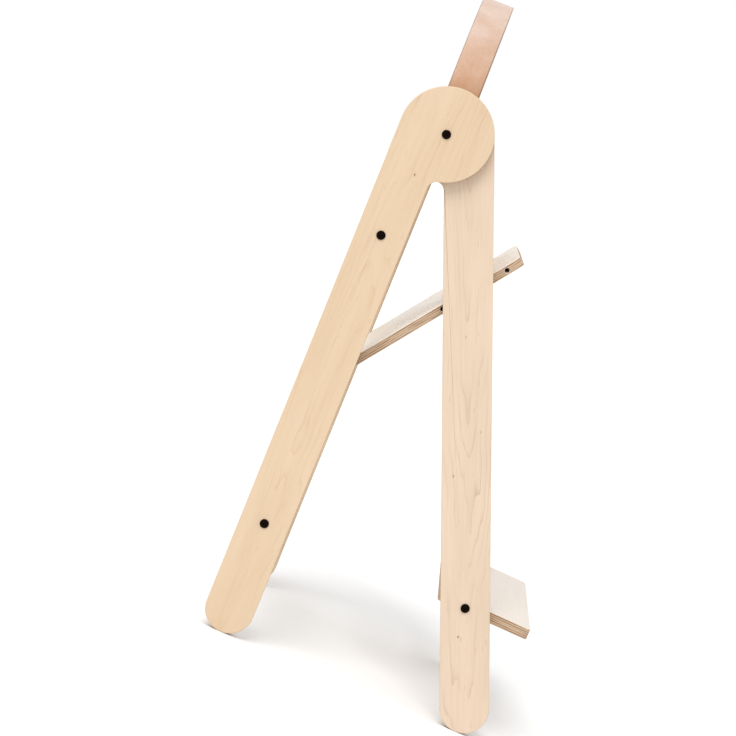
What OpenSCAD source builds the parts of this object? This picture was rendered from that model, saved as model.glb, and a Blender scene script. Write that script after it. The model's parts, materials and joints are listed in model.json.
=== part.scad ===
// Folding high chair for a child, in plywood.
// Two front legs and two rear legs cross at round heads, where one bolt on each side joins them.
// A seat board hinges between the front legs, and pins at its rear edge slide in grooves in the
// rear legs, so that it swings level as the legs open and upright as they close. A footrest board
// is bolted between the front legs, and a leather strap arches over the heads as a handle.
// The front points to +X, the width runs along Y, and all four feet stand on Z = 0.

/* [Legs] */
// Width of every leg
leg_w = 65; // [52:0.5:80]
// Thickness of the leg plywood
leg_t = 15; // [12:0.5:20]
// Diameter of the round head at the top of every leg
head_d = 124; // [102:1:150]
// Radius between the head and the leg's inner edge
head_fillet_r = 13; // [6:0.5:20]
// Length from the pivot to the foot's centre, along the front leg
front_leg_len = 752; // [620:1:910]
// Length from the pivot to the foot's centre, along the rear leg
rear_leg_len = 679; // [560:1:820]
// Angle between the front and rear legs as the chair stands
spread = 21.66; // [18:0.01:26]
// Widest angle between the legs, where the seat is level
spread_max = 51.5; // [47:0.1:55]

/* [Frame width] */
// Clear width between the two front legs
inner_w = 382; // [300:1:470]
// Gap between the front and the rear leg on each side
leg_gap = 1; // [0.6:0.1:2]

/* [Seat] */
// Thickness of the seat plywood
seat_t = 12; // [10:0.5:16]
// Drop from the pivot to the seat's hinge pins, along the front leg
seat_drop = 206.6; // [190:0.1:250]
// Length of the seat ahead of its hinge pins
seat_ahead = 82; // [70:1:100]
// Distance of the slide pins from the seat's rear edge
slide_pin_edge = 13; // [9:0.5:25]
// Rise of the seat above square to the front legs, as the chair stands
seat_tilt = 31.4; // [26:0.1:36]
// Gap between the seat and each front leg
seat_gap = 1; // [0.6:0.1:2]
// Corner radius of the seat board
seat_corner_r = 12; // [4:1:25]
// Diameter of the accessory holes in the seat's side edges
rail_hole_d = 6.5; // [4:0.1:7]
// Depth of the accessory holes
rail_hole_depth = 30; // [15:1:50]
// Distance of the front accessory hole ahead of the hinge pins
rail_ahead = 59.2; // [30:0.1:62]
// Distance of the rear accessory hole behind the hinge pins
rail_behind = 38.6; // [20:0.1:60]

/* [Footrest] */
// Thickness of the footrest plywood
footrest_t = 15; // [12:0.5:20]
// Rise from the foot's centre to the footrest's bolts, along the front leg
footrest_rise = 134; // [80:1:220]
// Length of the footrest ahead of its bolts
footrest_ahead = 91; // [60:1:120]
// Length of the footrest behind its bolts
footrest_behind = 37; // [35:1:60]
// Slope of the footrest as the chair stands, falling towards the front
footrest_dip = 0.8; // [0:0.1:5]
// Corner radius of the footrest board
footrest_corner_r = 5; // [2:1:15]

/* [Back board and stretcher] */
// Thickness of the back board
back_t = 12; // [10:0.5:15]
// Height of the back board, along the rear leg
back_h = 97; // [70:1:100]
// Distance from the seat's hinge pins up to the back board's lower edge, along the leg
back_seat_gap = 43.6; // [43:0.1:70]
// Distance of the back board's bolts above its lower edge
back_bolt_edge = 11.5; // [10:0.1:40]
// Thickness of the rear stretcher
stretcher_t = 15; // [12:0.5:20]
// Height of the rear stretcher, along the rear leg
stretcher_h = 60; // [50:1:80]
// Rise from the foot's centre to the stretcher's bolts, along the rear leg
stretcher_rise = 122; // [80:1:220]

/* [Strap] */
// Width of the leather strap
strap_w = 42.5; // [30:0.5:55]
// Thickness of the leather
strap_t = 3; // [2:0.1:5]
// Lean of the strap towards the rear
strap_lean = 2.4; // [0:0.1:20]

/* [Fasteners] */
// Diameter of every bolt's head
bolt_head_d = 12; // [10:0.5:16]
// Height of every bolt's head
bolt_head_h = 2; // [1.5:0.1:4]
// Diameter of every bolt's shank
bolt_d = 6; // [5:0.5:7]
// Size of the hexagon socket across its flats
hex_af = 4; // [3:0.5:5]
// Outer diameter of the pivot sleeves that the legs turn on
sleeve_d = 9; // [8.5:0.5:10.5]
// Diameter of the cross nuts inside the boards
cross_nut_d = 10; // [9:0.5:12]
// Distance from a board's end to its cross nut
cross_nut_in = 25; // [20:1:40]
// Diameter of the wooden locating dowels
dowel_d = 6; // [5:0.5:8]
// Diameter of the seat's hinge pins and slide pins
seat_pin_d = 6; // [5:0.5:7]
// Outer diameter of the bushes that the hinge pins turn in
bush_d = 10; // [9:0.5:14]

/* [Hidden] */
$fn = 96;

// Colours
face_ply = [0.94, 0.86, 0.75];
board_ply = [0.93, 0.89, 0.84];
beech = [0.82, 0.66, 0.48];
tan_leather = [0.88, 0.72, 0.60];
black_steel = [0.11, 0.10, 0.09];
zinc = [0.72, 0.73, 0.75];
nylon = [0.90, 0.90, 0.88];

// Clearances
cut = 1;              // extra length of a cutter past a face
run_play = 0.05;      // radial play of a turning fit
face_play = 0.05;     // play between turning faces
bolt_play = 0.25;     // radial play of a bolt in its hole
strap_gap = 0.3;      // leather to the front leg
washer_gap = 0.5;     // leather to its washer
groove_play = 0.4;    // slide pin to the sides of its groove
groove_end_play = 1;  // slide pin to the ends of its groove
bush_face_play = 0.2; // bush flange to the seat's edge

// Small fixed sizes
hex_depth = 1.4;
head_chamfer = 0.6;
bolt_past_nut = 8;
nut_cover = 2;
dowel_in_board = 20;
dowel_in_leg = 9;
dowel_spacing = 20;
back_dowel_edge = 18;
spacer_d = 30;
strap_washer_d = 20;
strap_washer_t = 1;
sleeve_flange_d = 16;
sleeve_flange_t = 2;
bush_depth = 11;
bush_flange_d = 16;
seat_pin_in = 20;
hinge_pin_out = 9;
slide_pin_out = 6;
groove_floor_play = 1;
groove_steps = 16;

// Legs: each centreline runs beside the pivot, so that the outer edge is tangent to the head
head_r = head_d / 2;
leg_offset = head_r - leg_w / 2;
footrest_drop = front_leg_len - footrest_rise;
stretcher_drop = rear_leg_len - stretcher_rise;

// Faces across the width, on the +Y side
front_in = inner_w / 2;
front_out = front_in + leg_t;
rear_in = front_out + leg_gap;
rear_out = rear_in + leg_t;
seat_edge = front_in - seat_gap;

// Stance: both pairs of feet touch the floor at any angle between the legs
front_reach = norm([leg_offset, front_leg_len]);
rear_reach = norm([leg_offset, rear_leg_len]);
front_skew = atan(leg_offset / front_leg_len);
rear_skew = atan(leg_offset / rear_leg_len);
function feet_angle(s) = s + front_skew + rear_skew;
function rear_foot_angle(s) = atan(
    (rear_reach - front_reach * cos(feet_angle(s))) / (front_reach * sin(feet_angle(s))));
rear_angle = rear_foot_angle(spread) - rear_skew;
front_angle = rear_angle - spread;
open_lean = spread_max + rear_skew - rear_foot_angle(spread_max);

// Pivot: the origin lies under the middle of the chair's outline
rear_foot_x = -rear_reach * sin(rear_foot_angle(spread));
front_foot_x = front_reach * sin(feet_angle(spread) - rear_foot_angle(spread));
footrest_bolt_x = leg_offset * cos(front_angle) - footrest_drop * sin(front_angle);
footrest_tip_x = footrest_bolt_x + footrest_ahead * cos(footrest_dip)
    + footrest_t / 2 * sin(footrest_dip);
outline_rear = min(-head_r, rear_foot_x - leg_w / 2);
outline_front = max(footrest_tip_x, front_foot_x + leg_w / 2);
pivot_x = -(outline_rear + outline_front) / 2;
pivot_z = leg_w / 2 + rear_reach * cos(rear_foot_angle(spread));

// Back board: above the path of the seat's rear edge
back_low = seat_drop - back_seat_gap;
back_top = back_low - back_h;
back_bolt_drop = back_low - back_bolt_edge;
back_dowel_drop = back_top + back_dowel_edge;

// Seat linkage: the slide pins lie on the rear legs' centreline as the chair stands, and the seat
// turns at a fixed ratio to the legs, so that it is level at their widest angle
tilt_ratio = (seat_tilt + open_lean) / (spread_max - spread);
slide_pin_behind = (leg_offset * (1 + cos(spread)) + seat_drop * sin(spread))
    / cos(seat_tilt + spread);
seat_behind = slide_pin_behind + slide_pin_edge;

// The seat's rise in the front frame, and the slide pin's place in the rear frame, at spread s
function seat_rise(s) = seat_tilt - tilt_ratio * (s - spread);
function slide_x(s) = leg_offset * cos(s) + seat_drop * sin(s)
    - slide_pin_behind * cos(seat_rise(s) + s);
function slide_z(s) = leg_offset * sin(s) - seat_drop * cos(s)
    - slide_pin_behind * sin(seat_rise(s) + s);

// Places the front legs' frame, with its origin on the pivot axis and the legs along -Z
module in_front_frame() {
    translate([pivot_x, 0, pivot_z]) rotate([0, front_angle, 0]) children();
}

// Places the rear legs' frame in the same way
module in_rear_frame() {
    translate([pivot_x, 0, pivot_z]) rotate([0, rear_angle, 0]) children();
}

// Places the seat's frame, with its origin on the hinge pins and the board along X
module in_seat_frame() {
    in_front_frame() translate([leg_offset, 0, -seat_drop]) rotate([0, -seat_tilt, 0]) children();
}

// Places the footrest's frame, with its origin on the bolts and the board along X
module in_footrest_frame() {
    in_front_frame() translate([leg_offset, 0, -footrest_drop])
        rotate([0, footrest_dip - front_angle, 0]) children();
}

// Places a point on the rear leg's centreline
module on_rear_leg(drop) {
    in_rear_frame() translate([-leg_offset, 0, -drop]) children();
}

module both_sides() {
    children();
    mirror([0, 1, 0]) children();
}

// Rod along Y between two faces
module rod(d, y0, y1) {
    translate([0, y0, 0]) rotate([-90, 0, 0]) cylinder(d = d, h = y1 - y0);
}

// Plate between two faces, from an outline drawn in the X-Z plane
module plate(y0, y1) {
    translate([0, y1, 0]) rotate([90, 0, 0]) linear_extrude(y1 - y0) children();
}

// Board from x0 to x1 with round corners, centred on Y and on its own mid-plane
module round_board(x0, x1, w, t, r) {
    translate([x0, -w / 2, -t / 2]) linear_extrude(t) {
        translate([r, 0]) square([x1 - x0 - 2 * r, w]);
        translate([0, r]) square([x1 - x0, w - 2 * r]);
        for (x = [r, x1 - x0 - r], y = [r, w - r]) translate([x, y]) circle(r = r);
    }
}

// Front leg between two faces: a round head, a straight leg, a round foot and one inner fillet
module leg_plate(len, y0, y1) {
    inner_x = head_r - leg_w;
    fillet_x = inner_x - head_fillet_r;
    fillet_z = -sqrt(pow(head_r + head_fillet_r, 2) - pow(fillet_x, 2));
    difference() {
        union() {
            rod(head_d, y0, y1);
            plate(y0, y1) translate([inner_x, -len]) square([leg_w, len]);
            translate([leg_offset, 0, -len]) rod(leg_w, y0, y1);
            plate(y0, y1) polygon([[0, 0], [leg_offset, fillet_z], [fillet_x, fillet_z]]);
        }
        translate([fillet_x, 0, fillet_z]) rod(2 * head_fillet_r, y0 - cut, y1 + cut);
    }
}

// Low-headed bolt with its head on the face at head_y, pointing inwards
module bolt(head_y, tip_y) {
    difference() {
        union() {
            rod(bolt_d, tip_y, head_y);
            rod(bolt_head_d, head_y, head_y + bolt_head_h - head_chamfer);
            translate([0, head_y + bolt_head_h - head_chamfer, 0]) rotate([-90, 0, 0])
                cylinder(d1 = bolt_head_d, d2 = bolt_head_d - 2 * head_chamfer, h = head_chamfer);
        }
        translate([0, head_y + bolt_head_h - hex_depth, 0]) rotate([-90, 0, 0])
            cylinder(d = hex_af / cos(30), h = hex_depth + cut, $fn = 6);
    }
}

// Bolt through a leg into a board that ends at board_y
module board_bolt(head_y, board_y) {
    bolt(head_y, board_y - cross_nut_in - bolt_past_nut);
}

// Hole for a board's bolt, from outside the leg to past the cross nut
module board_bolt_hole(head_y, board_y) {
    rod(bolt_d + 2 * bolt_play, board_y - cross_nut_in - bolt_past_nut - cut, head_y + cut);
}

// Cross nut in a board of thickness t that lies in the X-Y plane, let in from below
module cross_nut(board_y, t) {
    difference() {
        cross_nut_pocket(board_y, t);
        rod(bolt_d, board_y - cross_nut_in - cross_nut_d, board_y);
    }
}

module cross_nut_pocket(board_y, t) {
    translate([0, board_y - cross_nut_in, -t / 2]) cylinder(d = cross_nut_d, h = t - nut_cover);
}

// Wooden dowel across the joint between a leg and a board's end
module dowel(board_y) {
    rod(dowel_d, board_y - dowel_in_board, board_y + dowel_in_leg);
}

// Dowels on both sides of a board's bolt, spaced along X
module dowel_pair(board_y) {
    for (x = [-dowel_spacing, dowel_spacing]) translate([x, 0, 0]) dowel(board_y);
}

// Turns a board's own frame so that its length lies along the rear leg
module along_leg() {
    rotate([0, 90, 0]) children();
}

module front_leg() {
    difference() {
        in_front_frame() leg_plate(front_leg_len, front_in, front_out);
        in_front_frame() rod(sleeve_d, front_in - cut, front_out + cut);
        in_footrest_frame() board_bolt_hole(front_out, front_in);
        in_footrest_frame() dowel_pair(front_in);
        in_seat_frame() rod(bush_d, front_in - cut, front_in + bush_depth);
    }
}

module front_leg_left() {
    color(face_ply) front_leg();
}

module front_leg_right() {
    color(face_ply) mirror([0, 1, 0]) front_leg();
}

module rear_leg() {
    difference() {
        in_rear_frame() mirror([1, 0, 0]) leg_plate(rear_leg_len, rear_in, rear_out);
        in_rear_frame() rod(sleeve_d + 2 * run_play, rear_in - cut, rear_out + cut);
        in_rear_frame() slide_groove();
        on_rear_leg(back_bolt_drop) board_bolt_hole(rear_out, rear_in);
        on_rear_leg(back_dowel_drop) dowel(rear_in);
        on_rear_leg(stretcher_drop) board_bolt_hole(rear_out, rear_in);
        on_rear_leg(stretcher_drop) along_leg() dowel_pair(rear_in);
    }
}

module rear_leg_left() {
    color(face_ply) rear_leg();
}

module rear_leg_right() {
    color(face_ply) mirror([0, 1, 0]) rear_leg();
}

// Groove in the rear leg's inner face along the slide pin's path, drawn in the rear frame
module slide_groove() {
    half_w = seat_pin_d / 2 + groove_play;
    past_end = seat_pin_d / 2 + groove_end_play;
    depth = slide_pin_out + groove_floor_play;
    path = [for (i = [0:groove_steps]) let (s = spread_max * i / groove_steps)
        [slide_x(s), slide_z(s)]];
    low = path[0] - [0, past_end];
    high = path[groove_steps] + [0, past_end];
    line = [low, each path, high];
    last = len(line) - 1;
    plate(rear_in - cut, rear_in + depth) polygon([
        for (p = line) p - [half_w, 0],
        for (i = [0:last]) line[last - i] + [half_w, 0]
    ]);
}

module footrest_board() {
    color(board_ply) difference() {
        in_footrest_frame() round_board(-footrest_behind, footrest_ahead, inner_w, footrest_t,
            footrest_corner_r);
        both_sides() in_footrest_frame() {
            board_bolt_hole(front_out, front_in);
            cross_nut_pocket(front_in, footrest_t);
            dowel_pair(front_in);
        }
    }
}

module footrest_bolts() {
    color(black_steel) both_sides() in_footrest_frame() board_bolt(front_out, front_in);
}

module footrest_cross_nuts() {
    color(zinc) both_sides() in_footrest_frame() cross_nut(front_in, footrest_t);
}

module footrest_dowels() {
    color(beech) both_sides() in_footrest_frame() dowel_pair(front_in);
}

// The board across the rear legs, with holes for one bolt and its dowels on each side
module back_board() {
    color(board_ply) difference() {
        on_rear_leg((back_top + back_low) / 2) cube([back_t, 2 * rear_in, back_h], center = true);
        both_sides() on_rear_leg(back_bolt_drop) {
            board_bolt_hole(rear_out, rear_in);
            along_leg() cross_nut_pocket(rear_in, back_t);
        }
        both_sides() on_rear_leg(back_dowel_drop) dowel(rear_in);
    }
}

module back_bolts() {
    color(black_steel) both_sides() on_rear_leg(back_bolt_drop) board_bolt(rear_out, rear_in);
}

module back_cross_nuts() {
    color(zinc) both_sides() on_rear_leg(back_bolt_drop) along_leg() cross_nut(rear_in, back_t);
}

module back_dowels() {
    color(beech) both_sides() on_rear_leg(back_dowel_drop) dowel(rear_in);
}

module rear_stretcher() {
    color(board_ply) difference() {
        on_rear_leg(stretcher_drop) cube([stretcher_t, 2 * rear_in, stretcher_h], center = true);
        both_sides() on_rear_leg(stretcher_drop) {
            board_bolt_hole(rear_out, rear_in);
            along_leg() cross_nut_pocket(rear_in, stretcher_t);
            along_leg() dowel_pair(rear_in);
        }
    }
}

module stretcher_bolts() {
    color(black_steel) both_sides() on_rear_leg(stretcher_drop) board_bolt(rear_out, rear_in);
}

module stretcher_cross_nuts() {
    color(zinc) both_sides() on_rear_leg(stretcher_drop) along_leg()
        cross_nut(rear_in, stretcher_t);
}

module stretcher_dowels() {
    color(beech) both_sides() on_rear_leg(stretcher_drop) along_leg() dowel_pair(rear_in);
}

module seat_board() {
    color(board_ply) difference() {
        in_seat_frame() round_board(-seat_behind, seat_ahead, 2 * seat_edge, seat_t, seat_corner_r);
        both_sides() in_seat_frame() {
            hinge_pin();
            slide_pin();
            for (x = [rail_ahead, -rail_behind]) translate([x, 0, 0])
                rod(rail_hole_d, seat_edge - rail_hole_depth, seat_edge + cut);
        }
    }
}

// Steel pin in the seat's side edge that turns in the front leg's bush
module hinge_pin() {
    rod(seat_pin_d, seat_edge - seat_pin_in, front_in + hinge_pin_out);
}

// Steel pin near the seat's rear edge that reaches past the front leg into the rear leg's groove
module slide_pin() {
    translate([-slide_pin_behind, 0, 0])
        rod(seat_pin_d, seat_edge - seat_pin_in, rear_in + slide_pin_out);
}

module seat_hinge_pins() {
    color(zinc) both_sides() in_seat_frame() hinge_pin();
}

module seat_slide_pins() {
    color(zinc) both_sides() in_seat_frame() slide_pin();
}

module seat_bushes() {
    color(nylon) both_sides() in_seat_frame() difference() {
        union() {
            rod(bush_d, front_in, front_in + bush_depth);
            rod(bush_flange_d, seat_edge + bush_face_play, front_in);
        }
        rod(seat_pin_d + 2 * run_play, seat_edge - cut, front_in + bush_depth - cut);
    }
}

// Sleeve nut: its flange holds the strap washer, and its barrel carries the strap and both legs
module pivot_sleeves() {
    washer_y = front_in - strap_gap - strap_t - washer_gap - strap_washer_t;
    barrel_end = rear_out + face_play;
    color(zinc) both_sides() in_front_frame() difference() {
        union() {
            rod(sleeve_flange_d, washer_y - sleeve_flange_t, washer_y);
            rod(sleeve_d, washer_y, barrel_end);
        }
        rod(bolt_d, washer_y + sleeve_flange_t, barrel_end + cut);
    }
}

module pivot_bolts() {
    color(black_steel) both_sides() in_front_frame() bolt(rear_out + face_play, front_in);
}

module pivot_spacers() {
    color(nylon) both_sides() in_front_frame() difference() {
        rod(spacer_d, front_out, rear_in - face_play);
        rod(sleeve_d, front_out - cut, rear_in + cut);
    }
}

module strap_washers() {
    washer_out = front_in - strap_gap - strap_t - washer_gap;
    color(zinc) both_sides() in_front_frame() difference() {
        rod(strap_washer_d, washer_out - strap_washer_t, washer_out);
        rod(sleeve_d, washer_out - strap_washer_t - cut, washer_out + cut);
    }
}

// Half ring of leather from pivot to pivot, with a round end hanging below each bolt
module leather_strap() {
    outer_r = front_in - strap_gap;
    color(tan_leather) translate([pivot_x, 0, pivot_z]) rotate([0, -strap_lean, 0]) difference() {
        union() {
            rotate([90, 0, 90]) rotate_extrude(angle = 180)
                translate([outer_r - strap_t, -strap_w / 2]) square([strap_t, strap_w]);
            both_sides() difference() {
                rod(strap_w, outer_r - strap_t, outer_r);
                translate([-strap_w, 0, 0]) cube([2 * strap_w, 2 * outer_r, strap_w]);
            }
        }
        both_sides() rod(sleeve_d + 2 * run_play, outer_r - strap_t - cut, outer_r + cut);
    }
}

front_leg_right();
front_leg_left();
footrest_board();
footrest_bolts();
footrest_cross_nuts();
footrest_dowels();
pivot_bolts();
pivot_sleeves();
pivot_spacers();
strap_washers();
seat_bushes();
rear_leg_right();
rear_leg_left();
back_board();
back_bolts();
back_cross_nuts();
back_dowels();
rear_stretcher();
stretcher_bolts();
stretcher_cross_nuts();
stretcher_dowels();
seat_board();
seat_hinge_pins();
seat_slide_pins();
leather_strap();
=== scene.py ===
# Folding high chair in birch plywood with a leather carrying strap, standing on a white floor.
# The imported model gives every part's place. The legs and boards are copied from it with eased
# edges, the strap is modelled here, and every part gets its real material.
import json
from math import radians, sin, cos, pi

import bpy
from mathutils import Matrix, Vector


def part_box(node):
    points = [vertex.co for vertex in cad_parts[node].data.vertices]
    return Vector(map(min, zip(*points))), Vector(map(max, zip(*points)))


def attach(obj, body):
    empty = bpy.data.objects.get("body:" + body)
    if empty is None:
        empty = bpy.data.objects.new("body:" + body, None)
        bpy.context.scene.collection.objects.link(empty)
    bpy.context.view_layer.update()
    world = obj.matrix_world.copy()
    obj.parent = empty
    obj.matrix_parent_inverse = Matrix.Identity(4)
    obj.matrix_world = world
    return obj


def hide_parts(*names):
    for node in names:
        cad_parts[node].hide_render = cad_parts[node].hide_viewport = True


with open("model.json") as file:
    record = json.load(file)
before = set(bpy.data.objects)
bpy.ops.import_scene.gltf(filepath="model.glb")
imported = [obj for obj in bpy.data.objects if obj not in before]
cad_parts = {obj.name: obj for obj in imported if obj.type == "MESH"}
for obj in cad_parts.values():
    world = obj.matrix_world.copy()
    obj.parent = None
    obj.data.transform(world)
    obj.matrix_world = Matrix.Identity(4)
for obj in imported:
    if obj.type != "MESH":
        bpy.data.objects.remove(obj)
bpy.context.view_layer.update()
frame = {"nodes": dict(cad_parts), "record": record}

# Places and angles of the standing chair, in metres and radians
JOINTS = {joint["name"]: joint for joint in frame["record"]["behaviour"]["joints"]}
PIVOT = Vector(JOINTS["fold"]["pos_m"])
SEAT_HINGE = Vector(JOINTS["seat_tilt"]["pos_m"])
FRONT_LEAN = radians(-23.2036)
REAR_LEAN = radians(-1.5436)
SEAT_SLOPE = radians(54.6036)
FOOTREST_DIP = radians(0.8)
ACROSS = Vector((0, 1, 0))

# Sizes of the sheet goods, in metres
LEG_PLY = 0.015
SEAT_PLY = 0.012
BACK_PLY = 0.012
FOOTREST_PLY = 0.015
STRETCHER_PLY = 0.015
VENEER = 0.00136       # one layer of the plywood
EDGE_EASE = 0.0011     # sandpaper radius on every plywood edge
KNOT_STRETCH = 0.5     # a pin knot is twice as long as it is wide
KNOT_COLOUR = "#5E4028"
KNOT_DARKNESS = 3.2    # how far a full-depth knot is past the darkest wood
WOOD_IOR = 1.5

# Birch patterns, in repeats per metre: across the grain, through the sheet, along the grain
GRAIN_SWAY = (22, 22, 4.5)
GROWTH_FADE = (48, 48, 7)
FIBRES = (620, 620, 16)
STREAKS = (38, 38, 5)
FLECKS = (430, 430, 60)
LAYER_WAVER = (26, 26, 26)
END_GRAIN_PORES = (900, 2200, 900)
LONG_FIBRES = (30, 2400, 30)
LAYER_PATCHES = (45, 700, 45)
WAVER_SIZE = 0.0007    # full swing of a layer's waver, in metres

# Veneers: wood colours, spacing of the growth lines, how strong they are and how far they wander
LEG_VENEERS = {
    "front_leg_ply": dict(light="#D6C0A9", dark="#B8A189", ring=0.0047, figure=0.85, wave=0.022),
    "rear_leg_ply": dict(light="#D3BB9E", dark="#BFA381", ring=0.0075, figure=0.55, wave=0.048),
}
BOARD_VENEER = dict(heart=(0.01, 0.02), rise=0.09, ring=0.0075, figure=0.35, wave=0.024, gloss=0.34)
LEG_LAYERS = dict(light="#CDB08C", dark="#9C7850", glue="#5A3E28")
BOARD_LAYERS = dict(light="#CFB69A", dark="#8A6748", glue="#4A3222")

# How the mesh work tells faces, edges and doubled points apart
WELD = 0.000002                  # points closer than this are one point
FLAT = radians(0.5)              # triangles that meet at less than this are one flat face
SHARP = radians(40)              # edges that turn more than this get eased
BOARD_SMOOTH = radians(12)       # a flat face and its eased edge stay apart in shading
STRAP_SMOOTH = radians(40)
EASE_STEPS = 3
FACE_TURN = 0.3                  # a face this much along a board's thickness shows veneer

# Sockets of a Mix node: two colours and their result, or two numbers
COLOUR_A, COLOUR_B, COLOUR_OUT = 6, 7, 2
NUMBER_A, NUMBER_B = 2, 3

# The strap
STRAP_WIDTH = 0.0425
STRAP_THICK = 0.003
STRAP_LEAN = radians(-2.4)
STRAP_EDGE = 0.0011    # radius of its burnished edges
STRAP_HOLE_R = 0.00455
STRAP_STEPS = 72
STRAP_EDGE_STEPS = 4
TAB_STEPS = 10
TAB_TIP_REACH = 0.8    # share of the last step down that the tip of a tab takes
TAB_TIP_WIDTH = 0.45   # and its width, as a share of the row before it
PUNCH_LENGTH = 0.5     # through both ends of the strap at once
PUNCH_SIDES = 48
BURNISH_WIDTH = 0.0014
BURNISH_COLOUR = "#6E452C"

# Camera and light
CAMERA_PLACE = Vector((-0.12006, -3.86074, 0.74318))
CAMERA_YAW = radians(0.029)
CAMERA_PITCH = radians(-5.458)
CAMERA_ROLL = radians(-23.646)
CAMERA_LENS = 138.03
CAMERA_SENSOR = 36.0
CAMERA_REACH = 200.0
SKY_STRENGTH = 1.0
SUN_DIRECTION = Vector((0.30, 0.62, -0.80))
SUN_STRENGTH = 1.6
SUN_SOFTNESS = radians(32)
FLOOR_SIZE = 60.0
FLOOR_WHITE = 0.85


# ---------------------------------------------------------------- helpers

def srgb(hex_colour):
    """An sRGB hex colour as the linear RGBA that the shaders take."""
    channels = [int(hex_colour[i:i + 2], 16) / 255 for i in (1, 3, 5)]
    linear = [c / 12.92 if c <= 0.04045 else ((c + 0.055) / 1.055) ** 2.4 for c in channels]
    return (*linear, 1.0)


def add_node(tree, kind, inputs=None, **settings):
    """A shader node with its settings, and a value or a link for each input."""
    node = tree.nodes.new("ShaderNode" + kind)
    for key, value in settings.items():
        setattr(node, key, value)
    for key, value in (inputs or {}).items():
        if isinstance(value, bpy.types.NodeSocket):
            tree.links.new(value, node.inputs[key])
        else:
            node.inputs[key].default_value = value
    return node


def new_material(name):
    """An empty node material, its tree and its shader's socket to the output."""
    material = bpy.data.materials.new(name)
    material.use_nodes = True
    tree = material.node_tree
    tree.nodes.clear()
    output = add_node(tree, "OutputMaterial")
    return material, tree, output.inputs["Surface"]


def select_only(piece):
    """Makes one object the only selected and active one."""
    bpy.ops.object.select_all(action="DESELECT")
    piece.select_set(True)
    bpy.context.view_layer.objects.active = piece


def tilted(angle):
    """The up direction of a frame that is turned by an angle about the chair's width."""
    return Vector((sin(angle), 0, cos(angle)))


# ---------------------------------------------------------------- plywood

class Board:
    """One plywood board: a point on its mid-plane, its thickness direction and its grain."""

    def __init__(self, centre, normal, grain, thickness):
        self.centre = centre
        self.normal = normal
        self.grain = grain
        self.thickness = thickness
        self.turn = Matrix((normal.cross(grain), normal, grain)).transposed().to_euler()


def board_space(tree, board):
    """Coordinates on a board: X across the grain, Y through the thickness, Z along the grain."""
    place = add_node(tree, "TexCoord")
    return add_node(tree, "Mapping", {
        "Vector": place.outputs["Object"],
        "Location": board.centre,
        "Rotation": board.turn,
    }, vector_type="TEXTURE").outputs["Vector"]


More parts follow.
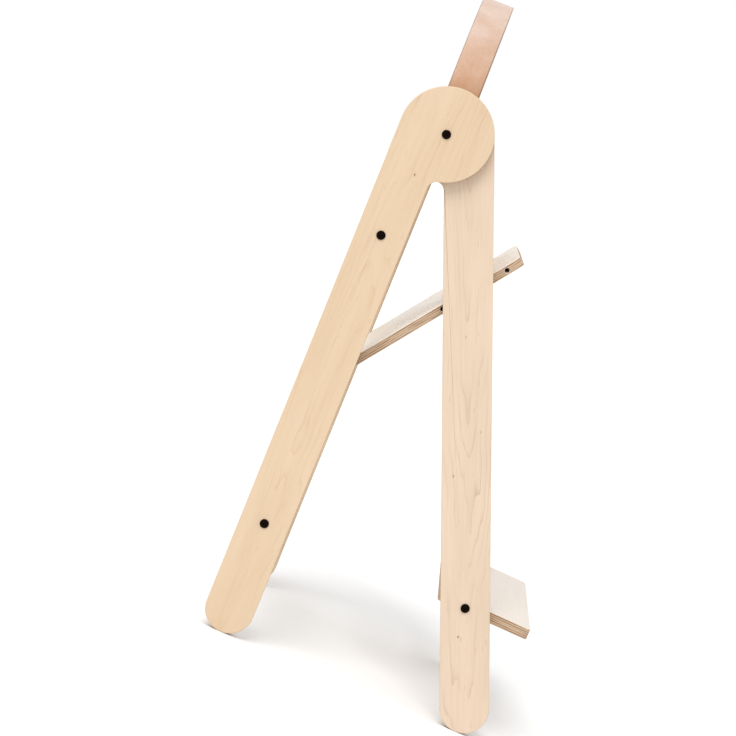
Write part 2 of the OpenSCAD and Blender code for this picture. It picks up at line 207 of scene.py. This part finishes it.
def birch_face(name, board, light, dark, heart, rise, ring, figure, wave, knots=(), gloss=0.42):
    """Rotary-cut birch veneer, sanded and matt lacquered: pale, with thin growth lines in long
    pointed loops, fine fibres along the grain, a few short flecks and pin knots. The heart is where
    the middle of the log lies, rise is how fast the knife climbs out of it, and a knot is its place
    across and along the board, its radius and its depth of colour."""
    material, tree, surface = new_material(name)
    space = board_space(tree, board)
    # Slow wander of the grain, so that no growth line is ruler-straight or evenly spaced
    sway = add_node(tree, "Mapping", {"Vector": space, "Scale": GRAIN_SWAY})
    wander = add_node(tree, "TexNoise", {"Vector": sway.outputs[0], "Scale": 1.0, "Detail": 3.0})
    shift = add_node(tree, "VectorMath", {0: wander.outputs["Color"], 1: (0.5, 0.5, 0.5)},
                     operation="SUBTRACT")
    push = add_node(tree, "VectorMath", {0: shift.outputs[0], 1: (wave, 0, wave)},
                    operation="MULTIPLY")
    # A knife cut through a slim cone of growth rings
    cut = add_node(tree, "Mapping", {
        "Vector": space, "Location": (-heart[0], 0, heart[1]), "Scale": (1, 0, rise)})
    log = add_node(tree, "VectorMath", {0: cut.outputs[0], 1: push.outputs[0]}, operation="ADD")
    rings = add_node(tree, "TexWave", {
        "Vector": log.outputs[0], "Scale": pi / 10 / ring, "Distortion": 3.0, "Detail": 3.0,
        "Detail Scale": 1.0, "Detail Roughness": 0.5,
    }, wave_type="RINGS", rings_direction="Y", wave_profile="SAW")
    late_wood = add_node(tree, "Math", {0: rings.outputs["Fac"], 1: 7.0}, operation="POWER")
    # Growth lines fade in and out along the sheet
    fade_space = add_node(tree, "Mapping", {"Vector": space, "Scale": GROWTH_FADE})
    fade = add_node(tree, "TexNoise", {"Vector": fade_space.outputs[0], "Scale": 1.0})
    strength = add_node(tree, "MapRange", {
        "Value": fade.outputs["Fac"], "From Min": 0.36, "From Max": 0.66, "To Max": figure})
    lines = add_node(tree, "Math", {0: late_wood.outputs[0], 1: strength.outputs[0]},
                     operation="MULTIPLY")
    # Fibres: bundles 1.6 mm wide that split finer within, and some centimetres long
    stretch = add_node(tree, "Mapping", {"Vector": space, "Scale": FIBRES})
    fibre = add_node(tree, "TexNoise", {
        "Vector": stretch.outputs[0], "Scale": 1.0, "Detail": 5.0, "Roughness": 0.62})
    # Broad streaks where one part of the sheet is a little darker than the next
    broad = add_node(tree, "Mapping", {"Vector": space, "Scale": STREAKS})
    streak = add_node(tree, "TexNoise", {
        "Vector": broad.outputs[0], "Scale": 1.0, "Detail": 3.0, "Roughness": 0.5})
    # Short dark flecks, half a millimetre wide
    fleck_space = add_node(tree, "Mapping", {"Vector": space, "Scale": FLECKS})
    fleck_noise = add_node(tree, "TexNoise", {
        "Vector": fleck_space.outputs[0], "Scale": 1.0, "Detail": 1.0})
    fleck = add_node(tree, "MapRange", {
        "Value": fleck_noise.outputs["Fac"], "From Min": 0.69, "From Max": 0.80, "To Max": 0.5})
    tone = add_node(tree, "Math", {
        0: fibre.outputs["Fac"], 1: 0.50, 2: lines.outputs[0]}, operation="MULTIPLY_ADD")
    tone = add_node(tree, "Math", {
        0: streak.outputs["Fac"], 1: 0.75, 2: tone.outputs[0]}, operation="MULTIPLY_ADD")
    tone = add_node(tree, "Math", {0: fleck.outputs[0], 1: tone.outputs[0]}, operation="ADD")
    for across, along, size, depth in knots:
        knot_space = add_node(tree, "Mapping", {
            "Vector": space, "Location": (-across, 0, -along * KNOT_STRETCH),
            "Scale": (1, 0, KNOT_STRETCH)})
        reach = add_node(tree, "VectorMath", {0: knot_space.outputs[0]}, operation="LENGTH")
        spot = add_node(tree, "MapRange", {
            "Value": reach.outputs["Value"], "From Min": size * 0.3, "From Max": size,
            "To Min": KNOT_DARKNESS * depth, "To Max": 0.0})
        tone = add_node(tree, "Math", {0: tone.outputs[0], 1: spot.outputs[0]}, operation="ADD")
    amount = add_node(tree, "MapRange", {
        "Value": tone.outputs[0], "From Min": 0.40, "From Max": 1.40, "To Max": 1.0})
    wood = add_node(tree, "Mix", {
        "Factor": amount.outputs[0], COLOUR_A: srgb(light), COLOUR_B: srgb(dark)}, data_type="RGBA")
    heartwood = add_node(tree, "MapRange", {
        "Value": tone.outputs[0], "From Min": 1.6, "From Max": 3.2, "To Max": 0.85})
    colour = add_node(tree, "Mix", {
        "Factor": heartwood.outputs[0],
        COLOUR_A: wood.outputs[COLOUR_OUT], COLOUR_B: srgb(KNOT_COLOUR)},
        data_type="RGBA")
    relief = add_node(tree, "Bump", {
        "Height": fibre.outputs["Fac"], "Strength": 0.06, "Distance": 0.0002})
    rough = add_node(tree, "MapRange", {
        "Value": fibre.outputs["Fac"], "To Min": gloss - 0.05, "To Max": gloss + 0.08})
    shader = add_node(tree, "BsdfPrincipled", {
        "Base Color": colour.outputs[COLOUR_OUT], "Roughness": rough.outputs[0], "IOR": WOOD_IOR,
        "Normal": relief.outputs[0]})
    tree.links.new(shader.outputs[0], surface)
    return material


def birch_edge(name, board, light, dark, glue):
    """The sanded edge of birch plywood: layers 1.4 mm thick that show long grain and end grain by
    turns, with thin dark glue lines between them."""
    material, tree, surface = new_material(name)
    space = board_space(tree, board)
    parts = add_node(tree, "SeparateXYZ", {0: space})
    # Layers wave by a tenth of a millimetre
    wave_space = add_node(tree, "Mapping", {"Vector": space, "Scale": LAYER_WAVER})
    waver = add_node(tree, "TexNoise", {"Vector": wave_space.outputs[0], "Scale": 1.0})
    depth = add_node(tree, "Math", {0: waver.outputs["Fac"], 1: WAVER_SIZE, 2: parts.outputs["Y"]},
                     operation="MULTIPLY_ADD")
    start = add_node(tree, "Math", {
        0: depth.outputs[0], 1: (board.thickness - WAVER_SIZE) / 2}, operation="ADD")
    layer = add_node(tree, "Math", {0: start.outputs[0], 1: VENEER}, operation="DIVIDE")
    within = add_node(tree, "Math", {0: layer.outputs[0]}, operation="FRACT")
    pair = add_node(tree, "Math", {0: layer.outputs[0], 1: 2.0}, operation="FLOORED_MODULO")
    cross_layer = add_node(tree, "Math", {0: pair.outputs[0], 1: 1.0}, operation="GREATER_THAN")
    centred = add_node(tree, "Math", {0: within.outputs[0], 1: 0.5}, operation="SUBTRACT")
    off_centre = add_node(tree, "Math", {0: centred.outputs[0]}, operation="ABSOLUTE")
    glue_line = add_node(tree, "MapRange", {
        "Value": off_centre.outputs[0], "From Min": 0.40, "From Max": 0.49})
    # End-grain pores in the cross layers, fibres in the long ones
    pore_space = add_node(tree, "Mapping", {"Vector": space, "Scale": END_GRAIN_PORES})
    pores = add_node(tree, "TexNoise",
                     {"Vector": pore_space.outputs[0], "Scale": 1.0, "Detail": 3.0})
    run_space = add_node(tree, "Mapping", {"Vector": space, "Scale": LONG_FIBRES})
    runs = add_node(tree, "TexNoise", {"Vector": run_space.outputs[0], "Scale": 1.0, "Detail": 3.0})
    texture = add_node(tree, "Mix", {
        "Factor": cross_layer.outputs[0], NUMBER_A: runs.outputs["Fac"],
        NUMBER_B: pores.outputs["Fac"]})
    # Each cross layer is darker in some stretches than in others
    patch_space = add_node(tree, "Mapping", {"Vector": space, "Scale": LAYER_PATCHES})
    patch = add_node(tree, "TexNoise", {
        "Vector": patch_space.outputs[0], "Scale": 1.0, "Detail": 2.0})
    stain = add_node(tree, "MapRange", {
        "Value": patch.outputs["Fac"], "From Min": 0.42, "From Max": 0.66, "To Min": 0.15,
        "To Max": 0.95})
    tone = add_node(tree, "Math", {
        0: cross_layer.outputs[0], 1: stain.outputs[0], 2: texture.outputs[0]},
        operation="MULTIPLY_ADD")
    amount = add_node(tree, "MapRange", {
        "Value": tone.outputs[0], "From Min": 0.30, "From Max": 1.15})
    wood = add_node(tree, "Mix", {
        "Factor": amount.outputs[0], COLOUR_A: srgb(light), COLOUR_B: srgb(dark)}, data_type="RGBA")
    seam = add_node(tree, "Math", {0: glue_line.outputs[0], 1: 0.75}, operation="MULTIPLY")
    colour = add_node(tree, "Mix", {
        "Factor": seam.outputs[0], COLOUR_A: wood.outputs[COLOUR_OUT], COLOUR_B: srgb(glue)},
        data_type="RGBA")
    relief = add_node(tree, "Bump", {
        "Height": texture.outputs[0], "Strength": 0.15, "Distance": 0.0002})
    shader = add_node(tree, "BsdfPrincipled", {
        "Base Color": colour.outputs[COLOUR_OUT], "Roughness": 0.62, "IOR": WOOD_IOR,
        "Normal": relief.outputs[0]})
    tree.links.new(shader.outputs[0], surface)
    return material


def eased_board(name, node, body, board, face, edge):
    """A plywood part with sanded edges: veneer on its two faces, layers on all its edges."""
    piece = bpy.data.objects.new(name, frame["nodes"][node].data.copy())
    bpy.context.collection.objects.link(piece)
    select_only(piece)
    bpy.ops.object.mode_set(mode="EDIT")
    bpy.ops.mesh.select_all(action="SELECT")
    bpy.ops.mesh.remove_doubles(threshold=WELD)
    bpy.ops.mesh.dissolve_limited(angle_limit=FLAT)
    bpy.ops.object.mode_set(mode="OBJECT")
    ease = piece.modifiers.new("sanded edges", "BEVEL")
    ease.width = EDGE_EASE
    ease.segments = EASE_STEPS
    ease.limit_method = "ANGLE"
    ease.angle_limit = SHARP
    ease.use_clamp_overlap = False
    bpy.ops.object.modifier_apply(modifier=ease.name)
    bpy.ops.object.shade_smooth_by_angle(angle=BOARD_SMOOTH)
    piece.data.materials.clear()
    piece.data.materials.append(face)
    piece.data.materials.append(edge)
    for polygon in piece.data.polygons:
        veneer = abs(polygon.normal.dot(board.normal)) > FACE_TURN
        polygon.material_index = 0 if veneer else 1
    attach(piece, body)
    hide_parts(node)
    return piece


def mid_y(node):
    """The middle of a node across the chair's width."""
    low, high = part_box(node)
    return (low[1] + high[1]) / 2


def build_legs():
    """The four legs, each cut from its own stretch of veneer."""
    # Lean, body, finish, heart of the log, rise of the knife, and knots
    leg_cuts = {
        "front_leg_right": (FRONT_LEAN, "front_frame", "front_leg_ply", (0.031, 0.0), -0.056,
                            [(0.0275, -0.262, 0.0015, 0.30), (0.0476, -0.386, 0.0013, 0.35),
                             (0.0125, -0.444, 0.0015, 0.45), (0.0205, -0.656, 0.0012, 1.0)]),
        "front_leg_left": (FRONT_LEAN, "front_frame", "front_leg_ply", (0.022, 0.010), -0.056, []),
        "rear_leg_right": (REAR_LEAN, "rear_frame", "rear_leg_ply", (-0.024, 0.018), 0.058,
                           [(-0.0184, -0.063, 0.0016, 0.7)]),
        "rear_leg_left": (REAR_LEAN, "rear_frame", "rear_leg_ply", (-0.020, 0.026), 0.052, []),
    }
    for node, (lean, body, slot, heart, rise, knots) in leg_cuts.items():
        centre = Vector((PIVOT.x, mid_y(node), PIVOT.z))
        board = Board(centre, ACROSS, tilted(lean), LEG_PLY)
        face = birch_face(node + "_birch_veneer", board, heart=heart, rise=rise, knots=knots,
                          **LEG_VENEERS[slot])
        edge = birch_edge(node + "_plywood_edge", board, **LEG_LAYERS)
        eased_board(node + "_eased", node, body, board, face, edge)


def build_boards():
    """The seat, footrest, back board and stretcher, with their grain across the chair."""
    footrest_low, footrest_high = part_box("footrest_board")
    footrest_centre = (Vector(footrest_low) + Vector(footrest_high)) / 2
    back_low, back_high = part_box("back_board")
    back_centre = (Vector(back_low) + Vector(back_high)) / 2
    stretcher_low, stretcher_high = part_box("rear_stretcher")
    stretcher_centre = (Vector(stretcher_low) + Vector(stretcher_high)) / 2
    rear_normal = Vector((cos(REAR_LEAN), 0, -sin(REAR_LEAN)))
    boards = {
        "seat_board": ("seat", "#E8E1D8", "#D9CEC0", Board(
            SEAT_HINGE, tilted(-SEAT_SLOPE), ACROSS, SEAT_PLY)),
        "footrest_board": ("front_frame", "#D9CFC5", "#CABEB0", Board(
            footrest_centre, tilted(FOOTREST_DIP), ACROSS, FOOTREST_PLY)),
        "back_board": ("rear_frame", "#DCD0C0", "#CABBA6", Board(
            back_centre, rear_normal, ACROSS, BACK_PLY)),
        "rear_stretcher": ("rear_frame", "#DACDBC", "#C8B8A2", Board(
            stretcher_centre, rear_normal, ACROSS, STRETCHER_PLY)),
    }
    for node, (body, light, dark, board) in boards.items():
        face = birch_face(node + "_birch_veneer", board, light, dark, **BOARD_VENEER)
        edge = birch_edge(node + "_plywood_edge", board, **BOARD_LAYERS)
        eased_board(node + "_eased", node, body, board, face, edge)


# ---------------------------------------------------------------- leather strap

def vegetable_tanned_leather(name, light, dark, roughness, fuzz):
    """Natural vegetable-tanned cowhide: pale pinkish tan, with fine pores, slow colour drift,
    painted shade towards the ends, painted light at the top, and edges burnished darker. The grain
    side is smoother than the flesh side."""
    material, tree, surface = new_material(name)
    place = add_node(tree, "TexCoord")
    space = add_node(tree, "Mapping", {
        "Vector": place.outputs["Object"], "Location": PIVOT, "Rotation": (0, STRAP_LEAN, 0),
    }, vector_type="TEXTURE").outputs[0]
    drift = add_node(tree, "TexNoise", {"Vector": space, "Scale": 22.0, "Detail": 4.0})
    mottle = add_node(tree, "TexNoise", {"Vector": space, "Scale": 240.0, "Detail": 4.0})
    # Pores and creases of the hide, about 1 mm apart
    pores = add_node(tree, "TexVoronoi", {"Vector": space, "Scale": 950.0},
                     feature="DISTANCE_TO_EDGE")
    crease = add_node(tree, "MapRange", {
        "Value": pores.outputs["Distance"], "From Min": 0.0, "From Max": 0.22})
    parts = add_node(tree, "SeparateXYZ", {0: space})
    side = add_node(tree, "Math", {0: parts.outputs["X"]}, operation="ABSOLUTE")
    burnish = add_node(tree, "MapRange", {
        "Value": side.outputs[0], "From Min": STRAP_WIDTH / 2 - BURNISH_WIDTH,
        "From Max": STRAP_WIDTH / 2, "To Min": 0.0, "To Max": 0.85})
    tone = add_node(tree, "Math", {0: mottle.outputs["Fac"], 1: 0.30, 2: drift.outputs["Fac"]},
                    operation="MULTIPLY_ADD")
    # Painted shade and painted light: the hide is darker near its ends and lighter towards the top
    # of the arch, standing in for light falling from above
    painted_shade_to_ends = add_node(tree, "MapRange", {
        "Value": parts.outputs["Z"], "From Min": 0.045, "From Max": 0.155, "To Min": 0.62,
        "To Max": 0.0}, interpolation_type="SMOOTHSTEP")
    tone = add_node(tree, "Math", {0: tone.outputs[0], 1: painted_shade_to_ends.outputs[0]}, operation="ADD")
    amount = add_node(tree, "MapRange", {
        "Value": tone.outputs[0], "From Min": 0.45, "From Max": 1.35})
    hide = add_node(tree, "Mix", {
        "Factor": amount.outputs[0], COLOUR_A: srgb(light), COLOUR_B: srgb(dark)}, data_type="RGBA")
    colour = add_node(tree, "Mix", {
        "Factor": burnish.outputs[0], COLOUR_A: hide.outputs[COLOUR_OUT],
        COLOUR_B: srgb(BURNISH_COLOUR)}, data_type="RGBA")
    height = add_node(tree, "Math", {0: mottle.outputs["Fac"], 1: fuzz, 2: crease.outputs[0]},
                      operation="MULTIPLY_ADD")
    relief = add_node(tree, "Bump", {
        "Height": height.outputs[0], "Strength": 0.22, "Distance": 0.0002})
    shader = add_node(tree, "BsdfPrincipled", {
        "Base Color": colour.outputs[COLOUR_OUT], "Roughness": roughness, "IOR": 1.47,
        "Sheen Weight": 0.12, "Sheen Roughness": 0.5, "Normal": relief.outputs[0]})
    tree.links.new(shader.outputs[0], surface)
    return material


def select_vertices(piece, wanted):
    """Selects the vertices that a test picks, in edit mode."""
    bpy.ops.mesh.select_all(action="DESELECT")
    bpy.ops.object.mode_set(mode="OBJECT")
    for vertex in piece.data.vertices:
        vertex.select = wanted(vertex.co)
    bpy.ops.object.mode_set(mode="EDIT")
    bpy.ops.mesh.select_mode(type="VERT")


def round_tab(piece, side):
    """Draws one end of the strap down past its bolt into a half-round tab."""
    half = STRAP_WIDTH / 2
    end = PIVOT.z
    select_vertices(piece, lambda co: abs(co.z - end) < 0.00001 and co.y * side > 0)
    for step in range(1, TAB_STEPS):
        before = pi / 2 * (step - 1) / TAB_STEPS
        now = pi / 2 * step / TAB_STEPS
        drop = half * (sin(now) - sin(before))
        bpy.ops.mesh.extrude_region_move(TRANSFORM_OT_translate={"value": (0, 0, -drop)})
        bpy.ops.transform.resize(
            value=(cos(now) / cos(before), 1, 1), center_override=(PIVOT.x, 0, end))
    last = pi / 2 * (TAB_STEPS - 1) / TAB_STEPS
    bpy.ops.mesh.extrude_region_move(
        TRANSFORM_OT_translate={"value": (0, 0, -half * (1 - sin(last)) * TAB_TIP_REACH)})
    bpy.ops.transform.resize(value=(TAB_TIP_WIDTH, 1, 1), center_override=(PIVOT.x, 0, end))
    bpy.ops.mesh.edge_face_add()


def build_strap():
    """A leather band with rounded edges, arched from bolt to bolt, with round tabs at its ends."""
    low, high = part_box("leather_strap")
    outer_r = (high[1] - low[1]) / 2
    middle_r = outer_r - STRAP_THICK / 2
    bpy.ops.object.select_all(action="DESELECT")
    bpy.ops.mesh.primitive_plane_add(size=1, location=(PIVOT.x, -middle_r, PIVOT.z))
    strap = bpy.context.object
    strap.name = "leather_strap_band"
    strap.scale = (STRAP_WIDTH, STRAP_THICK, 1)
    bpy.ops.object.transform_apply(location=True, rotation=True, scale=True)
    bpy.ops.object.mode_set(mode="EDIT")
    bpy.ops.mesh.select_all(action="SELECT")
    bpy.ops.mesh.bevel(
        offset=STRAP_EDGE, segments=STRAP_EDGE_STEPS, affect="VERTICES", offset_type="OFFSET")
    bpy.ops.mesh.select_all(action="SELECT")
    bpy.ops.mesh.delete(type="ONLY_FACE")
    bpy.ops.mesh.select_all(action="SELECT")
    bpy.ops.mesh.spin(steps=STRAP_STEPS, angle=pi, center=PIVOT, axis=(1, 0, 0))
    for side in (-1, 1):
        round_tab(strap, side)
    bpy.ops.mesh.select_all(action="SELECT")
    bpy.ops.transform.rotate(
        value=-STRAP_LEAN, orient_axis="Y", center_override=PIVOT)
    bpy.ops.mesh.remove_doubles(threshold=WELD)
    bpy.ops.mesh.normals_make_consistent(inside=False)
    bpy.ops.object.mode_set(mode="OBJECT")
    punch_holes(strap)
    bpy.ops.object.shade_smooth_by_angle(angle=STRAP_SMOOTH)
    grain_side = vegetable_tanned_leather(
        "vegetable_tanned_grain_side", "#CAB3A4", "#A87444", 0.42, 0.4)
    flesh_side = vegetable_tanned_leather(
        "vegetable_tanned_flesh_side", "#CDB9AC", "#AF896C", 0.78, 1.3)
    strap.data.materials.append(grain_side)
    strap.data.materials.append(flesh_side)
    for polygon in strap.data.polygons:
        from_axis = Vector((0, polygon.center.y, max(polygon.center.z - PIVOT.z, 0)))
        inward = polygon.normal.dot(from_axis.normalized()) < -0.5
        polygon.material_index = 1 if inward else 0
    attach(strap, "strap")
    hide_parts("leather_strap")


def punch_holes(strap):
    """Punches the round holes that the pivot sleeves pass through."""
    bpy.ops.object.select_all(action="DESELECT")
    bpy.ops.mesh.primitive_cylinder_add(
        vertices=PUNCH_SIDES, radius=STRAP_HOLE_R, depth=PUNCH_LENGTH, location=PIVOT,
        rotation=(pi / 2, 0, 0))
    punch = bpy.context.object
    select_only(strap)
    hole = strap.modifiers.new("punched holes", "BOOLEAN")
    hole.operation = "DIFFERENCE"
    hole.object = punch
    bpy.ops.object.modifier_apply(modifier=hole.name)
    bpy.data.objects.remove(punch)


# ---------------------------------------------------------------- hardware

def black_oxide_steel():
    """Steel bolts blackened in a hot oxide bath: a satin metal, near black with a brown bloom, so
    that the flat of the head shines a little and the socket stays black."""
    material, tree, surface = new_material("black_oxide_steel")
    place = add_node(tree, "TexCoord")
    bloom = add_node(tree, "TexNoise", {
        "Vector": place.outputs["Object"], "Scale": 700.0, "Detail": 3.0})
    colour = add_node(tree, "Mix", {
        "Factor": bloom.outputs["Fac"], COLOUR_A: srgb("#0F0A08"), COLOUR_B: srgb("#1E1611")},
        data_type="RGBA")
    rough = add_node(tree, "MapRange", {
        "Value": bloom.outputs["Fac"], "To Min": 0.34, "To Max": 0.56})
    relief = add_node(tree, "Bump", {
        "Height": bloom.outputs["Fac"], "Strength": 0.08, "Distance": 0.0001})
    shader = add_node(tree, "BsdfPrincipled", {
        "Base Color": colour.outputs[COLOUR_OUT], "Metallic": 1.0, "Roughness": rough.outputs[0],
        "Normal": relief.outputs[0]})
    tree.links.new(shader.outputs[0], surface)
    return material


def zinc_plated_steel():
    """Turned steel with bright zinc plating: cool grey metal with fine turning marks."""
    material, tree, surface = new_material("zinc_plated_steel")
    place = add_node(tree, "TexCoord")
    # Turning marks, 0.3 mm apart along the axis across the chair
    lathe = add_node(tree, "Mapping", {"Vector": place.outputs["Object"], "Scale": (60, 3300, 60)})
    marks = add_node(tree, "TexNoise", {"Vector": lathe.outputs[0], "Scale": 1.0, "Detail": 2.0})
    colour = add_node(tree, "Mix", {
        "Factor": marks.outputs["Fac"], COLOUR_A: srgb("#C9CCD0"), COLOUR_B: srgb("#A9ADB2")},
        data_type="RGBA")
    rough = add_node(tree, "MapRange", {
        "Value": marks.outputs["Fac"], "To Min": 0.22, "To Max": 0.40})
    shader = add_node(tree, "BsdfPrincipled", {
        "Base Color": colour.outputs[COLOUR_OUT], "Metallic": 1.0, "Roughness": rough.outputs[0]})
    tree.links.new(shader.outputs[0], surface)
    return material


def natural_nylon():
    """Moulded natural nylon: milky white, slightly glossy, with a faint moulded texture."""
    material, tree, surface = new_material("natural_nylon")
    place = add_node(tree, "TexCoord")
    skin = add_node(tree, "TexNoise", {
        "Vector": place.outputs["Object"], "Scale": 1500.0, "Detail": 2.0})
    colour = add_node(tree, "Mix", {
        "Factor": skin.outputs["Fac"], COLOUR_A: srgb("#ECEAE3"), COLOUR_B: srgb("#DEDBD0")},
        data_type="RGBA")
    relief = add_node(tree, "Bump", {
        "Height": skin.outputs["Fac"], "Strength": 0.1, "Distance": 0.00005})
    shader = add_node(tree, "BsdfPrincipled", {
        "Base Color": colour.outputs[COLOUR_OUT], "Roughness": 0.38, "IOR": 1.53,
        "Normal": relief.outputs[0]})
    tree.links.new(shader.outputs[0], surface)
    return material


def turned_beech():
    """Plain beech dowel: pinkish brown, with short dark rays along its length."""
    material, tree, surface = new_material("turned_beech")
    place = add_node(tree, "TexCoord")
    rays = add_node(tree, "Mapping",
                     {"Vector": place.outputs["Object"], "Scale": (1100, 160, 1100)})
    fleck = add_node(tree, "TexNoise", {"Vector": rays.outputs[0], "Scale": 1.0, "Detail": 3.0})
    colour = add_node(tree, "Mix", {
        "Factor": fleck.outputs["Fac"], COLOUR_A: srgb("#DDB58C"), COLOUR_B: srgb("#B9875C")},
        data_type="RGBA")
    shader = add_node(tree, "BsdfPrincipled", {
        "Base Color": colour.outputs[COLOUR_OUT], "Roughness": 0.55, "IOR": WOOD_IOR})
    tree.links.new(shader.outputs[0], surface)
    return material


def finish_hardware():
    """Gives the bolts, nuts, pins, sleeves, bushes and dowels their own metals, nylon and beech."""
    finishes = {
        "black_bolt": black_oxide_steel(),
        "zinc_steel": zinc_plated_steel(),
        "nylon": natural_nylon(),
        "beech_dowel": turned_beech(),
    }
    for part in frame["record"]["subparts"]:
        if part["material_slot"] in finishes:
            slots = frame["nodes"][part["node"]].material_slots
            for slot in slots:
                slot.material = finishes[part["material_slot"]]


# ---------------------------------------------------------------- stage

def build_floor():
    """A wide white studio floor."""
    bpy.ops.object.select_all(action="DESELECT")
    bpy.ops.mesh.primitive_plane_add(size=FLOOR_SIZE, location=(0, 0, 0))
    floor = bpy.context.object
    floor.name = "studio_floor"
    material, tree, surface = new_material("white_studio_paper")
    shader = add_node(tree, "BsdfDiffuse", {
        "Color": (FLOOR_WHITE, FLOOR_WHITE, FLOOR_WHITE, 1), "Roughness": 0.0})
    tree.links.new(shader.outputs[0], surface)
    floor.data.materials.append(material)


def build_sky():
    """Even white light from all round, as in a light tent."""
    world = bpy.data.worlds.new("light_tent")
    world.use_nodes = True
    background = world.node_tree.nodes["Background"]
    background.inputs["Color"].default_value = (1, 1, 1, 1)
    background.inputs["Strength"].default_value = SKY_STRENGTH
    bpy.context.scene.world = world


def add_sun(name, towards, strength, softness):
    """A large soft lamp, far away, that shines in one direction."""
    lamp = bpy.data.lights.new(name, "SUN")
    lamp.energy = strength
    lamp.angle = softness
    holder = bpy.data.objects.new(name, lamp)
    bpy.context.collection.objects.link(holder)
    holder.rotation_euler = towards.to_track_quat("-Z", "Y").to_euler()


def add_camera():
    """A long lens, just above the pivots, rolled so that the front legs stand upright in view."""
    camera_data = bpy.data.cameras.new("camera")
    camera_data.lens = CAMERA_LENS
    camera_data.sensor_width = CAMERA_SENSOR
    camera_data.clip_end = CAMERA_REACH
    camera = bpy.data.objects.new("camera", camera_data)
    bpy.context.collection.objects.link(camera)
    look = (Matrix.Rotation(CAMERA_YAW, 4, "Z") @ Matrix.Rotation(CAMERA_PITCH, 4, "X")
            @ Matrix.Rotation(CAMERA_ROLL, 4, "Y") @ Matrix.Rotation(pi / 2, 4, "X"))
    camera.matrix_world = Matrix.Translation(CAMERA_PLACE) @ look
    bpy.context.scene.camera = camera


add_camera()
build_legs()
build_boards()
build_strap()
finish_hardware()
build_floor()
build_sky()
add_sun("key_light", SUN_DIRECTION, SUN_STRENGTH, SUN_SOFTNESS)
bpy.context.scene.view_settings.view_transform = "Standard"
